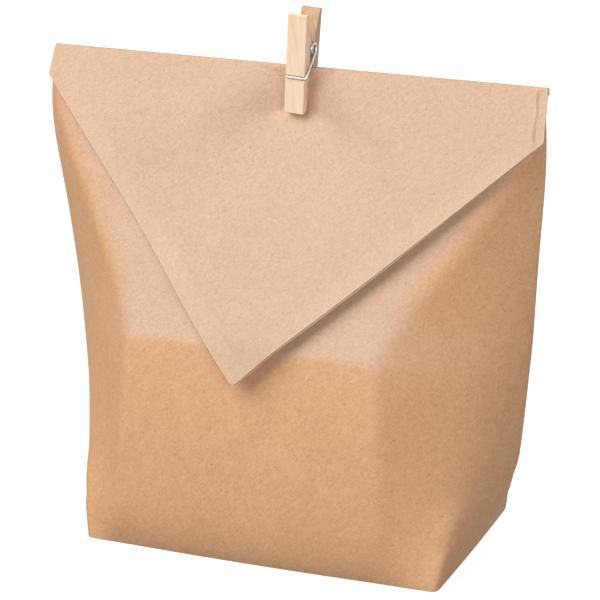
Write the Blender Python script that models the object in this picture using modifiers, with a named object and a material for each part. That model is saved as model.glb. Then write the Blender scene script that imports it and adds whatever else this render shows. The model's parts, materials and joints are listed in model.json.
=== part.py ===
"""A brown paper lunch bag, stood up full, its top folded to the front and held by a small peg.

Metres, +Z up, the bag's front towards -Y. The origin is the centre of the base.
"""

import math

import bmesh
import bpy
from mathutils import Matrix, Vector
from mathutils.bvhtree import BVHTree

# The bag
BASE_WIDTH = 0.132
BASE_DEPTH = 0.0816
SHOULDER_Z = 0.0798
FOLD_Z = 0.1701
FOLD_WIDTH = 0.181
FOLD_SHIFT = -0.0021
SHOULDER_WIDTH = 0.1705
PANEL_LEFT_SHARE = 0.79
PANEL_RIGHT_SHARE = 0.69
TOP_THICKNESS = 0.0012

# The flap
FLAP_LENGTH = 0.1113
FLAP_TIP_X = -0.0053
FLAP_THICKNESS = 0.0008
FLAP_LIFT = 0.0004
FLAP_SLOPE = math.radians(27.0)
FLAP_TIP_SLOPE = math.radians(18.0)
FLAP_LEFT_SIDE = 0.0103
FLAP_RIGHT_SIDE = 0.0178
FLAP_LEFT_BOW = 0.0010
FLAP_RIGHT_BOW = 0.0008

# The peg
PEG_LENGTH = 0.035
PEG_WIDTH = 0.007
PEG_LEAN = math.radians(3.4)
PEG_X = 0.0
JAW_REACH = 0.0157
JAW_OUTER = 0.0058
PINCH_REACH = 0.007
PINCH_DROP = 0.017
FLAP_DIP_REACH = 0.036
FLAP_DIP_DROP = 0.048
FLAP_DIP_SHARE = 0.5
LEVER_SPLAY = math.radians(2.4)
HANDLE_END = 0.0016
CLEARANCE = 0.0003

# The peg's spring
WIRE_RADIUS = 0.00045
COIL_RADIUS = 0.00155
COIL_TURNS = 6.5
COIL_HEIGHT = 0.0223
ARM_HEIGHT = 0.0128

# Follows from the sizes above
STACK_FRONT = -(TOP_THICKNESS / 2 + FLAP_LIFT + FLAP_THICKNESS)
STACK_BACK = TOP_THICKNESS / 2
PEG_Y = (STACK_FRONT + STACK_BACK) / 2
PAD_HALF = (STACK_BACK - STACK_FRONT) / 2 + CLEARANCE
PEG_Z = FOLD_Z - JAW_REACH
ARM_X = PEG_WIDTH / 2 + CLEARANCE + WIRE_RADIUS
COIL_OUTER = COIL_RADIUS + WIRE_RADIUS

NAME = "paper_lunch_bag"


def clear_scene():
    """Start from nothing."""
    for item in list(bpy.data.objects):
        bpy.data.objects.remove(item, do_unlink=True)


def new_collection(name, hidden=False):
    """A collection linked to the scene."""
    group = bpy.data.collections.new(name)
    bpy.context.scene.collection.children.link(group)
    group.hide_render = hidden
    return group


def plain_material(name, colour, roughness, metallic=0.0):
    """A Principled material with its own colour."""
    material = bpy.data.materials.new(name)
    material.use_nodes = True
    shader = material.node_tree.nodes["Principled BSDF"]
    shader.inputs["Base Color"].default_value = (*colour, 1.0)
    shader.inputs["Roughness"].default_value = roughness
    shader.inputs["Metallic"].default_value = metallic
    return material


def object_from(name, mesh, group, material=None):
    """A named object for a mesh."""
    item = bpy.data.objects.new(name, mesh)
    group.objects.link(item)
    if material:
        mesh.materials.clear()
        mesh.materials.append(material)
    return item


def baked(item):
    """Replace an object's mesh by the result of its modifiers."""
    graph = bpy.context.evaluated_depsgraph_get()
    mesh = bpy.data.meshes.new_from_object(item.evaluated_get(graph))
    item.modifiers.clear()
    item.data = mesh
    return item


def cut_or_join(item, other, operation):
    """Boolean of one object with another."""
    step = item.modifiers.new(operation.lower(), "BOOLEAN")
    step.operation = operation
    step.solver = "EXACT"
    step.object = other
    return baked(item)


def smooth_step(value, start, end):
    """0 at start, 1 at end, eased at both."""
    t = min(max((value - start) / (end - start), 0.0), 1.0)
    return t * t * (3 - 2 * t)


def pinch(x, z):
    """How far the peg presses the paper flat, 0 to 1."""
    away = max(abs(x - PEG_X) - PEG_WIDTH * 0.8, 0.0)
    return math.exp(-((away / PINCH_REACH) ** 2)) * smooth_step(z, PEG_Z - PINCH_DROP, PEG_Z + 0.002)


def flap_pinch(x, z):
    """How far the flap follows the peg's pinch: a wide shallow dip and a tight dent in it."""
    wide = FLAP_DIP_SHARE * math.exp(-(((x - PEG_X) / FLAP_DIP_REACH) ** 2))
    wide *= smooth_step(z, PEG_Z - FLAP_DIP_DROP, PEG_Z + 0.004)
    away = max(abs(x - PEG_X) - PEG_WIDTH * 0.75, 0.0)
    tight = math.exp(-((away / (PINCH_REACH * 0.7)) ** 2))
    tight *= smooth_step(z, PEG_Z - PINCH_DROP * 0.75, PEG_Z + 0.002)
    return 1 - (1 - wide) * (1 - tight)


def body_sections():
    """Half sections up the bag: height, shift, panel edges, front, outer corners and side ridge."""
    wide = BASE_WIDTH / 2
    deep = BASE_DEPTH / 2
    side = SHOULDER_WIDTH / 2
    top = FOLD_WIDTH / 2
    thin = TOP_THICKNESS / 2
    left = wide * PANEL_LEFT_SHARE
    right = wide * PANEL_RIGHT_SHARE
    low = SHOULDER_Z
    rise = FOLD_Z - SHOULDER_Z

    def corners(*shares):
        """Left and right outer corners from shares of the half width and half depth."""
        (ax, ay), (bx, by) = shares if len(shares) == 2 else shares * 2
        return (-wide * ax, -deep * ay), (wide * bx, -deep * by)

    def section(height, shift, edges, front, outer, ridge):
        """One section, its panel edges given as shares of the base's."""
        return height, shift, (-left * edges[0], right * edges[1]), front, outer, ridge

    def under_fold(height, share, front):
        """A flat section just under the fold."""
        outer = ((-top * (share + 0.02), -thin * 0.95), (top * (share + 0.02), -thin * 0.95))
        return height, FOLD_SHIFT, (-top * share, top * share), front, outer, top

    return [
        section(0.0, 0.0, (0.95, 0.95), deep * 0.93, corners((0.95, 0.93)), wide * 0.955),
        section(0.0, 0.0, (1.0, 1.0), deep, corners((1.0, 1.0)), wide * 1.005),
        section(low * 0.05, 0.0, (1.0, 1.0), deep * 1.045, corners((1.01, 0.985)), wide * 1.06),
        section(low * 0.17, 0.0, (1.0, 1.0), deep * 1.1, corners((1.03, 0.94), (1.03, 0.90)),
                side * 0.9),
        section(low * 0.35, 0.0, (0.99, 1.0), deep * 1.11, corners((1.07, 0.80), (1.07, 0.76)),
                side * 0.955),
        section(low * 0.62, 0.0, (0.95, 1.0), deep * 1.1, corners((1.10, 0.56), (1.12, 0.58)),
                side * 0.98),
        section(low * 0.88, 0.0, (0.93, 0.97), deep * 1.065, corners((1.12, 0.46), (1.15, 0.48)),
                side),
        section(low, 0.0, (0.93, 0.94), deep * 1.02, corners((1.13, 0.42), (1.16, 0.43)),
                side * 1.01),
        section(low + rise * 0.12, -0.0004, (0.99, 1.0), deep * 0.82,
                corners((1.15, 0.36), (1.17, 0.36)), side * 1.02),
        section(low + rise * 0.4, -0.0016, (1.19, 1.34), deep * 0.51, corners((1.25, 0.2)),
                side * 1.045),
        section(low + rise * 0.68, -0.0034, (1.44, 1.72), deep * 0.255, corners((1.34, 0.09)),
                side * 1.085),
        section(low + rise * 0.88, -0.0034, (1.64, 1.92), deep * 0.095, corners((1.385, 0.04)),
                side * 1.1),
        under_fold(low + rise * 0.965, 0.965, thin * 1.4),
        under_fold(FOLD_Z - 0.0011, 0.96, thin),
    ]


def body_ring(section):
    """The twenty points of one section, round from the left ridge by the front."""
    height, shift, (left, right), front, corners, ridge = section
    bulge = 1.02 if height < SHOULDER_Z * 0.7 else 1.0
    points = [(-ridge, 0.0), corners[0], (left, -front)]
    for share in (0.3, 0.42, 0.5, 0.58, 0.7):
        points.append((left + (right - left) * share, -front * bulge))
    points += [(right, -front), corners[1], (ridge, 0.0)]
    points += [(x, -y) for x, y in points[-2:0:-1]]
    return [Vector((x + shift, y, height)) for x, y in points]


def bag_body(group, material):
    """The filled bag below its flap: flat base, six-sided middle and a top pressed flat."""
    shape = bmesh.new()
    rings = []
    for section in body_sections():
        rings.append([shape.verts.new(point) for point in body_ring(section)])
    count = len(rings[0])
    for low, high in zip(rings, rings[1:]):
        for i in range(count):
            j = (i + 1) % count
            shape.faces.new((low[i], low[j], high[j], high[i]))
    half = count // 2
    for ring, flip in ((rings[0], True), (rings[-1], False)):
        for i in range(half):
            corners = [ring[i], ring[i + 1], ring[-i - 1], ring[-i]]
            face = list(dict.fromkeys(corners))
            shape.faces.new(face[::-1] if flip else face)
    crease = shape.edges.layers.float.new("crease_edge")
    for ring in (rings[1], rings[-1]):
        for i in range(count):
            shape.edges.get((ring[i], ring[(i + 1) % count]))[crease] = 0.85
    folds = {
        0: (0.0, 0.0, 0.3, 0.6, 0.6, 0.6, 0.6, 0.6, 0.6, 0.6, 0.6, 0.6),
        1: (0.9, 0.7, 0.45, 0.2),
        2: (0.35, 0.6, 0.7, 0.7, 0.7, 0.6, 0.5, 0.4, 0.3, 0.2, 0.1),
    }
    for column, sharpness in folds.items():
        alike = {column, half - column, half + column, (count - column) % count}
        for low, high, sharp in zip(rings[1:], rings[2:], sharpness):
            for i in alike:
                shape.edges.get((low[i], high[i]))[crease] = sharp
    shoulder = rings[7]
    for i in range(2, half - 2):
        for j in (i, count - i - 1):
            shape.edges.get((shoulder[j], shoulder[j + 1]))[crease] = 0.45
    mesh = bpy.data.meshes.new("paper_bag")
    shape.to_mesh(mesh)
    shape.free()
    item = object_from("paper_bag", mesh, group, material)
    rounder = item.modifiers.new("soft folds", "SUBSURF")
    rounder.levels = 2
    rounder.render_levels = 2
    baked(item)
    thin = TOP_THICKNESS / 2
    for vert in item.data.vertices:
        x, y, z = vert.co
        if abs(y) > thin:
            pressed = math.copysign(thin, y)
            vert.co.y = y + (pressed - y) * pinch(x, z)
    return item


def flap_path():
    """The flap's middle line from inside the top fold, over it and down to the tip."""
    back = TOP_THICKNESS * 0.1
    front = STACK_FRONT + FLAP_THICKNESS / 2
    radius = (back - front) / 2
    centre_y = (back + front) / 2
    centre_z = FOLD_Z - radius - FLAP_THICKNESS / 2
    points = [(back, centre_z - 0.0016, -0.0016 - math.pi * radius)]
    for i in range(7):
        turn = (math.pi - FLAP_SLOPE) * i / 6
        y = centre_y + radius * math.cos(turn)
        z = centre_z + radius * math.sin(turn)
        points.append((y, z, -radius * (math.pi - FLAP_SLOPE - turn)))
    y, z, run = points[-1]
    bend_from = FLAP_LENGTH * 0.72
    stops = [FLAP_LENGTH * i / 24 for i in range(1, 25)]
    stops = sorted(stops + [FLAP_LEFT_SIDE, FLAP_RIGHT_SIDE])
    for distance in stops:
        part = max(0.0, (distance - bend_from) / (FLAP_LENGTH - bend_from))
        slope = FLAP_SLOPE + (FLAP_TIP_SLOPE - FLAP_SLOPE) * part
        y -= (distance - run) * math.sin(slope)
        z -= (distance - run) * math.cos(slope)
        run = distance
        points.append((y, z, run))
    return points


def flap_sides(run):
    """Left and right end of the flap at a distance down from the fold."""
    left_top = -FOLD_WIDTH / 2 + FOLD_SHIFT + 0.0004
    right_top = FOLD_WIDTH / 2 + FOLD_SHIFT
    down = max(run, 0.0)
    left_corner = left_top - 0.0006
    right_corner = right_top + 0.0012
    if down < FLAP_LEFT_SIDE:
        left = left_top + (left_corner - left_top) * down / FLAP_LEFT_SIDE
    else:
        share = (down - FLAP_LEFT_SIDE) / (FLAP_LENGTH - FLAP_LEFT_SIDE)
        bow = FLAP_LEFT_BOW * math.sin(math.pi * 1.27 * share) * (1 - share ** 6)
        left = left_corner + (FLAP_TIP_X - left_corner) * share + bow
    if down < FLAP_RIGHT_SIDE:
        right = right_top + (right_corner - right_top) * down / FLAP_RIGHT_SIDE
    else:
        share = (down - FLAP_RIGHT_SIDE) / (FLAP_LENGTH - FLAP_RIGHT_SIDE)
        bow = FLAP_RIGHT_BOW * math.sin(math.pi * share)
        right = right_corner + (FLAP_TIP_X - right_corner) * share + bow
    return left, right


def front_of(item, reach):
    """A function that gives an item's foremost depth within reach of a place, or None beside it."""
    corners = [vert.co for vert in item.data.vertices]
    surface = BVHTree.FromPolygons(corners, [face.vertices for face in item.data.polygons])

    def depth(x, z):
        """The foremost depth met from the front, here and just round about."""
        found = []
        for dx, dz in ((0.0, 0.0), (-reach, 0.0), (reach, 0.0), (0.0, -reach), (0.0, reach)):
            hit = surface.ray_cast(Vector((x + dx, -1.0, z + dz)), Vector((0.0, 1.0, 0.0)))[0]
            if hit is not None:
                found.append(hit.y)
        return min(found, default=None)

    return depth


def flap_plate(group, body):
    """The two-layer flap as one thin plate that runs over the top fold and clear of the body."""
    depth = front_of(body, 0.002)
    columns = 24
    shares = []
    for i in range(columns + 1):
        t = 2 * i / columns - 1
        shares.append(0.5 + 0.5 * (0.45 * t + 0.55 * t ** 3))
    shape = bmesh.new()
    rows = []
    middle = STACK_FRONT + FLAP_THICKNESS / 2
    for y, z, run in flap_path()[:-1]:
        left, right = flap_sides(run)
        row = []
        for share in shares:
            x = left + (right - left) * share
            place = y + (middle - y) * flap_pinch(x, z) if y < middle else y
            behind = depth(x, z)
            if y < middle and behind is not None:
                place = min(place, behind - FLAP_LIFT - FLAP_THICKNESS / 2)
            row.append(shape.verts.new((x, place, z)))
        rows.append(row)
    for upper, lower in zip(rows, rows[1:]):
        for i in range(columns):
            shape.faces.new((upper[i], lower[i], lower[i + 1], upper[i + 1]))
    y, z, run = flap_path()[-1]
    tip = shape.verts.new((FLAP_TIP_X, y, z))
    for i in range(columns):
        shape.faces.new((rows[-1][i], tip, rows[-1][i + 1]))
    shape.normal_update()
    mesh = bpy.data.meshes.new("flap")
    shape.to_mesh(mesh)
    shape.free()
    item = object_from("flap", mesh, group)
    thick = item.modifiers.new("paper", "SOLIDIFY")
    thick.thickness = FLAP_THICKNESS
    thick.offset = 0.0
    thick.use_even_offset = True
    return baked(item)


def paper_bag(group, cutters, material):
    """The bag, its top fold and its flap as one solid."""
    body = bag_body(group, material)
    flap = flap_plate(cutters, body)
    return cut_or_join(body, flap, "UNION")


def peg_frame():
    """Peg coordinates to the bag's: origin between the jaw tips, z up along the peg."""
    place = Matrix.Translation((PEG_X, PEG_Y, PEG_Z))
    return place @ Matrix.Rotation(PEG_LEAN, 4, "Y")


def rod(name, radius, length, centre, group, steps=24):
    """A cylinder along X."""
    shape = bmesh.new()
    turn = Matrix.Translation(centre) @ Matrix.Rotation(math.pi / 2, 4, "Y")
    bmesh.ops.create_cone(shape, cap_ends=True, segments=steps, radius1=radius,
                          radius2=radius, depth=length, matrix=turn)
    mesh = bpy.data.meshes.new(name)
    shape.to_mesh(mesh)
    shape.free()
    item = object_from(name, mesh, group)
    item.display_type = "WIRE"
    return item


def lever(name, side, group, cutters, material):
    """One wooden lever; side -1 is the front one and 1 the back one."""
    spread = math.tan(LEVER_SPLAY)
    outer_top = JAW_OUTER + PEG_LENGTH * spread
    outline = [
        (JAW_OUTER, 0.0),
        (outer_top, PEG_LENGTH),
        (outer_top - HANDLE_END, PEG_LENGTH),
        (PAD_HALF, COIL_HEIGHT + COIL_OUTER),
        (PAD_HALF, 0.0036),
        (PAD_HALF + 0.0012, 0.0),
    ]
    shape = bmesh.new()
    half = PEG_WIDTH / 2
    loop = [shape.verts.new((-half, side * y, z)) for y, z in outline]
    face = shape.faces.new(loop if side < 0 else loop[::-1])
    swept = bmesh.ops.extrude_face_region(shape, geom=[face])
    moved = [v for v in swept["geom"] if isinstance(v, bmesh.types.BMVert)]
    bmesh.ops.translate(shape, verts=moved, vec=(PEG_WIDTH, 0, 0))
    bmesh.ops.recalc_face_normals(shape, faces=shape.faces)
    mesh = bpy.data.meshes.new(name)
    shape.to_mesh(mesh)
    shape.free()
    item = object_from(name, mesh, group, material)
    soft = item.modifiers.new("worn edges", "BEVEL")
    soft.width = 0.00025
    soft.segments = 2
    soft.limit_method = "ANGLE"
    soft.angle_limit = math.radians(40)
    baked(item)
    long = PEG_WIDTH * 2
    arm_y = side * (JAW_OUTER + ARM_HEIGHT * spread + WIRE_RADIUS * 0.25)
    cuts = [
        (COIL_OUTER + CLEARANCE, (0, 0, COIL_HEIGHT)),
        (0.0015, (0, side * (PAD_HALF - 0.0003), 0.0098)),
        (WIRE_RADIUS + CLEARANCE, (0, arm_y, ARM_HEIGHT)),
    ]
    for number, (radius, centre) in enumerate(cuts):
        cutter = rod(f"{name}_cut_{number}", radius, long, centre, cutters)
        cut_or_join(item, cutter, "DIFFERENCE")
    item.data.transform(peg_frame())
    return item


def spring_path():
    """The wire's middle line in peg coordinates, from the back arm to the front arm."""
    spread = math.tan(LEVER_SPLAY)
    arm_y = JAW_OUTER + ARM_HEIGHT * spread + WIRE_RADIUS * 0.25
    end_x = PEG_WIDTH / 2 - 0.0005
    hook = [
        (-end_x, -arm_y, ARM_HEIGHT),
        (ARM_X - 0.0010, -arm_y, ARM_HEIGHT),
        (ARM_X - 0.0004, -arm_y + 0.00012, ARM_HEIGHT + 0.0001),
        (ARM_X, -arm_y + 0.0007, ARM_HEIGHT + 0.0008),
        (ARM_X, COIL_RADIUS * 0.55, COIL_HEIGHT - COIL_RADIUS * 0.95),
    ]
    back_hook = [(-x, -y, z) for x, y, z in hook]
    steps = round(COIL_TURNS * 16)
    coil = []
    for i in range(steps + 1):
        share = i / steps
        turn = math.pi - 2 * math.pi * COIL_TURNS * share
        coil.append((
            -ARM_X + 2 * ARM_X * share,
            COIL_RADIUS * math.cos(turn),
            COIL_HEIGHT + COIL_RADIUS * math.sin(turn),
        ))
    return back_hook + coil + hook[::-1]


def spring(group, material):
    """The peg's spring: one wire with a coil and two hooked arms."""
    curve = bpy.data.curves.new("peg_spring", "CURVE")
    curve.dimensions = "3D"
    curve.bevel_depth = WIRE_RADIUS
    curve.bevel_resolution = 2
    curve.use_fill_caps = True
    line = curve.splines.new("POLY")
    path = spring_path()
    line.points.add(len(path) - 1)
    for point, place in zip(line.points, path):
        point.co = (*place, 1.0)
    bent = bpy.data.objects.new("spring_line", curve)
    group.objects.link(bent)
    graph = bpy.context.evaluated_depsgraph_get()
    mesh = bpy.data.meshes.new_from_object(bent.evaluated_get(graph))
    bpy.data.objects.remove(bent, do_unlink=True)
    shape = bmesh.new()
    shape.from_mesh(mesh)
    bmesh.ops.remove_doubles(shape, verts=shape.verts, dist=0.00001)
    bmesh.ops.recalc_face_normals(shape, faces=shape.faces)
    shape.to_mesh(mesh)
    shape.free()
    item = object_from("peg_spring", mesh, group, material)
    item.data.transform(peg_frame())
    return item


def main():
    """Build every piece."""
    clear_scene()
    pieces = new_collection(NAME)
    cutters = new_collection("cutters", hidden=True)
    kraft = plain_material("kraft_paper", (0.62, 0.42, 0.26), 0.85)
    wood = plain_material("peg_wood", (0.78, 0.58, 0.38), 0.6)
    steel = plain_material("spring_wire", (0.62, 0.62, 0.62), 0.3, 1.0)
    paper_bag(pieces, cutters, kraft)
    lever("peg_front_lever", -1, pieces, cutters, wood)
    lever("peg_back_lever", 1, pieces, cutters, wood)
    spring(pieces, steel)
    for item in cutters.objects:
        item.hide_render = True
        item.display_type = "WIRE"


main()
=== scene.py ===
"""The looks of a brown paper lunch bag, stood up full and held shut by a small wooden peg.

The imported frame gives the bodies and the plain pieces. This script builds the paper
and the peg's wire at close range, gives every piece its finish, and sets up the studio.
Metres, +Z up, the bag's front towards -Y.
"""

import json
import logging
import math
from dataclasses import dataclass, field
from enum import Enum
from typing import Callable, Iterable, Sequence

import bmesh
import bpy
import numpy as np
from mathutils import Matrix, Vector
from mathutils.bvhtree import BVHTree

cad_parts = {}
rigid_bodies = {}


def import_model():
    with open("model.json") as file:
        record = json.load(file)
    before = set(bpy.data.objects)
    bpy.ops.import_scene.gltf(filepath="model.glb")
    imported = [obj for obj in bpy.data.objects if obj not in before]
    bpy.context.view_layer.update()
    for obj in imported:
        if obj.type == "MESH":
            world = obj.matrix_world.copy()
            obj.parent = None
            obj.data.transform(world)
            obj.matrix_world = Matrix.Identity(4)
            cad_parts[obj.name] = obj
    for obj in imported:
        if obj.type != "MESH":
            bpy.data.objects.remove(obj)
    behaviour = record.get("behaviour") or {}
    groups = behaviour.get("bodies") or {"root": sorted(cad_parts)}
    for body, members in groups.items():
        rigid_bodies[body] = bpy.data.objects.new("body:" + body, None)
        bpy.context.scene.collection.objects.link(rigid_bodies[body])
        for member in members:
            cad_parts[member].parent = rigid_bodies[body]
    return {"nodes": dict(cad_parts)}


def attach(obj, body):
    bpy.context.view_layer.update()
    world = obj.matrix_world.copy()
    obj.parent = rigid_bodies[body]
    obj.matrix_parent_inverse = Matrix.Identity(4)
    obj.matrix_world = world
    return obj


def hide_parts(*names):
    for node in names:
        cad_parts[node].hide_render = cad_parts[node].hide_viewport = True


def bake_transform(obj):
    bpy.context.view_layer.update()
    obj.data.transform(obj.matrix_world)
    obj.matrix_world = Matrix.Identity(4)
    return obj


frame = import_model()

logging.basicConfig(level=logging.INFO, format="%(message)s")
LOG = logging.getLogger("lunch_bag")

Colour = tuple[float, float, float]
Point = tuple[float, float, float]
Pair = tuple[float, float]
Socket = bpy.types.NodeSocket


class Body(Enum):
    """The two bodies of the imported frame."""

    BAG = "bag"
    FRONT_LEVER = "front_lever"


class Slot(Enum):
    """The record's material slots."""

    PAPER = "kraft_paper"
    WOOD = "peg_wood"
    WIRE = "spring_wire"


def linear(red: int, green: int, blue: int) -> Colour:
    """A colour given in display numbers, as the linear values a shader takes."""
    shares = (value / 255 for value in (red, green, blue))
    return tuple(s / 12.92 if s <= 0.04045 else ((s + 0.055) / 1.055) ** 2.4 for s in shares)


def ease(value: np.ndarray, start: float, end: float) -> np.ndarray:
    """A smooth ramp over an array.

    Args:
        value: The numbers to read.
        start: Where the ramp leaves 0.
        end: Where it reaches 1.

    Returns:
        Shares from 0 to 1, in value's shape.
    """
    share = np.clip((value - start) / (end - start), 0.0, 1.0)
    return share * share * (3.0 - 2.0 * share)


# Shader helpers


@dataclass
class Sketch:
    """Adds nodes to one tree and links them."""

    tree: bpy.types.NodeTree

    def node(self, kind: str, values: dict | None = None, **options) -> bpy.types.Node:
        """Add one node.

        Args:
            kind: The node's type name.
            values: Input values or sockets to link, by input name or number.
            options: Settings of the node itself.

        Returns:
            The new node.
        """
        made = self.tree.nodes.new(kind)
        for name, value in options.items():
            setattr(made, name, value)
        self.feed(made, values or {})
        return made

    def feed(self, node: bpy.types.Node, values: dict) -> None:
        """Fill a node's inputs.

        Args:
            node: The node.
            values: Input values or sockets to link, by input name or number.
        """
        for name, value in values.items():
            if isinstance(value, Socket):
                self.tree.links.new(value, node.inputs[name])
            else:
                node.inputs[name].default_value = value

    def maths(self, operation: str, *values) -> Socket:
        """One step of arithmetic.

        Args:
            operation: The kind of arithmetic.
            values: Its inputs, as numbers or sockets.

        Returns:
            The result's socket.
        """
        numbered = dict(enumerate(values))
        return self.node("ShaderNodeMath", numbered, operation=operation).outputs[0]

    def weighted(self, value, middle: float, weight: float) -> Socket:
        """A value's distance from its middle, made stronger or weaker.

        Args:
            value: The socket to read.
            middle: The value that gives 0.
            weight: What the distance is multiplied by.

        Returns:
            The result's socket.
        """
        return self.maths("MULTIPLY", self.maths("SUBTRACT", value, middle), weight)

    def ramp(self, value, low: float, high: float, to_low: float = 0.0,
             to_high: float = 1.0) -> Socket:
        """Map a value from one range to another, held at both ends.

        Args:
            value: The socket to read.
            low: The value that gives to_low.
            high: The value that gives to_high.
            to_low: The result at the low end.
            to_high: The result at the high end.

        Returns:
            The result's socket.
        """
        values = {0: value, 1: low, 2: high, 3: to_low, 4: to_high}
        return self.node("ShaderNodeMapRange", values, clamp=True).outputs[0]

    def noise(self, where, scale: float, detail: float = 2.0, rough: float = 0.5,
              warp: float = 0.0) -> Socket:
        """Smooth noise.

        Args:
            where: The coordinates' socket.
            scale: Cycles per metre.
            detail: Octaves.
            rough: How strong the finer octaves are.
            warp: How far the pattern is pulled about.

        Returns:
            The noise value's socket.
        """
        values = {"Vector": where, "Scale": scale, "Detail": detail, "Roughness": rough,
                  "Distortion": warp}
        return self.node("ShaderNodeTexNoise", values).outputs[0]

    def placed(self, where, turn: Point, scale: Point) -> Socket:
        """Coordinates turned and stretched.

        Args:
            where: The coordinates' socket.
            turn: Rotation in degrees.
            scale: Stretch along each axis after the turn.

        Returns:
            The new coordinates' socket.
        """
        values = {"Vector": where, "Rotation": [math.radians(a) for a in turn]}
        turned = self.node("ShaderNodeMapping", values)
        values = {"Vector": turned.outputs[0], "Scale": scale}
        return self.node("ShaderNodeMapping", values).outputs[0]

    def mix(self, share, first, second, blend: str = "MIX") -> Socket:
        """Mix two colours.

        Args:
            share: How much of the second, as a number or socket.
            first: The first colour.
            second: The second colour.
            blend: The mixing mode.

        Returns:
            The mixed colour's socket.
        """
        values = ((0, share), (6, first), (7, second))
        filled = {i: (*v, 1.0) if isinstance(v, tuple) else v for i, v in values}
        return self.node("ShaderNodeMix", filled, data_type="RGBA", blend_type=blend).outputs[2]


@dataclass
class Effect:
    """A named node group with its own inputs and outputs, built once and shared."""

    name: str
    inputs: Sequence[tuple[str, str, float]]
    outputs: Sequence[tuple[str, str]]

    def start(self) -> tuple[Sketch, bpy.types.Node, bpy.types.Node]:
        """Make the empty group.

        Returns:
            A sketch of the group's tree, its input node and its output node.
        """
        tree = bpy.data.node_groups.new(self.name, "ShaderNodeTree")
        for name, kind, value in self.inputs:
            socket = tree.interface.new_socket(name, in_out="INPUT", socket_type=kind)
            if kind == FLOAT:
                socket.default_value = value
        for name, kind in self.outputs:
            tree.interface.new_socket(name, in_out="OUTPUT", socket_type=kind)
        sketch = Sketch(tree)
        return sketch, sketch.node("NodeGroupInput"), sketch.node("NodeGroupOutput")


FLOAT = "NodeSocketFloat"
VECTOR = "NodeSocketVector"


def fibre_effect() -> bpy.types.NodeTree:
    """The fibres, flecks and clouding of brown paper.

    Returns:
        A group that gives Tone, around 0.5, Flecks as a mask and a surface Height.
    """
    effect = Effect(
        "paper_fibres",
        [("Vector", VECTOR, 0.0), ("Clouding", FLOAT, 1.0), ("Fibre", FLOAT, 1.0)],
        [("Tone", FLOAT), ("Flecks", FLOAT), ("Height", FLOAT)],
    )
    s, given, out = effect.start()
    where = given.outputs["Vector"]
    strands = []
    for turn, scale in (((12, 8, 20), 900.0), ((-25, 40, 70), 1100.0), ((50, -30, -35), 1000.0)):
        line = s.placed(where, turn, (1.0, 0.16, 1.0))
        strands.append(s.noise(line, scale, 1.5, 0.55, 0.6))
    fibre = s.maths("MAXIMUM", s.maths("MAXIMUM", strands[0], strands[1]), strands[2])
    pulp = s.noise(where, 2100.0, 2.0, 0.6)
    cloud = s.noise(where, 70.0, 3.0, 0.55, 0.3)
    patch = s.noise(where, 320.0, 3.0, 0.6)
    fine = s.maths("ADD", s.weighted(fibre, 0.58, 0.9), s.weighted(pulp, 0.5, 0.8))
    fine = s.maths("MULTIPLY", fine, s.maths("MULTIPLY", given.outputs["Fibre"], 1.2))
    wide = s.maths("ADD", s.weighted(cloud, 0.5, 0.25), s.weighted(patch, 0.5, 0.35))
    wide = s.maths("MULTIPLY", wide, given.outputs["Clouding"])
    tone = s.maths("ADD", s.maths("ADD", fine, wide), 0.5)
    speck = s.node("ShaderNodeTexVoronoi", {"Vector": s.placed(where, (30, 10, 60), (1, 0.3, 1)),
                                            "Scale": 520.0, "Randomness": 1.0})
    rare = s.ramp(speck.outputs["Distance"], 0.16, 0.06)
    chosen = s.node("ShaderNodeSeparateColor", {0: speck.outputs["Color"]}).outputs[0]
    flecks = s.maths("MULTIPLY", rare, s.ramp(chosen, 0.72, 0.86))
    height = s.maths("ADD", s.maths("MULTIPLY", fibre, 0.6), s.maths("MULTIPLY", pulp, 0.5))
    s.feed(out, {"Tone": tone, "Flecks": flecks, "Height": height})
    return s.tree


def grain_effect() -> bpy.types.NodeTree:
    """The grain of split wood, along the piece's length.

    Returns:
        A group that gives Rings and Pores as masks and a surface Height.
    """
    effect = Effect(
        "wood_grain",
        [("Vector", VECTOR, 0.0), ("Coarse", FLOAT, 1.0)],
        [("Rings", FLOAT), ("Pores", FLOAT), ("Height", FLOAT)],
    )
    s, given, out = effect.start()
    where = given.outputs["Vector"]
    long = s.placed(where, (0, 4, 12), (1.0, 1.0, 0.06))
    rings = s.noise(long, 620.0, 3.0, 0.55, 0.8)
    rings = s.ramp(rings, 0.36, 0.66)
    thin = s.placed(where, (0, 3, -20), (1.0, 1.0, 0.03))
    pores = s.ramp(s.noise(thin, 3400.0, 2.0, 0.6), 0.62, 0.78)
    height = s.maths("SUBTRACT", s.maths("MULTIPLY", rings, 0.4),
                     s.maths("MULTIPLY", pores, given.outputs["Coarse"]))
    s.feed(out, {"Rings": rings, "Pores": pores, "Height": height})
    return s.tree


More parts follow.
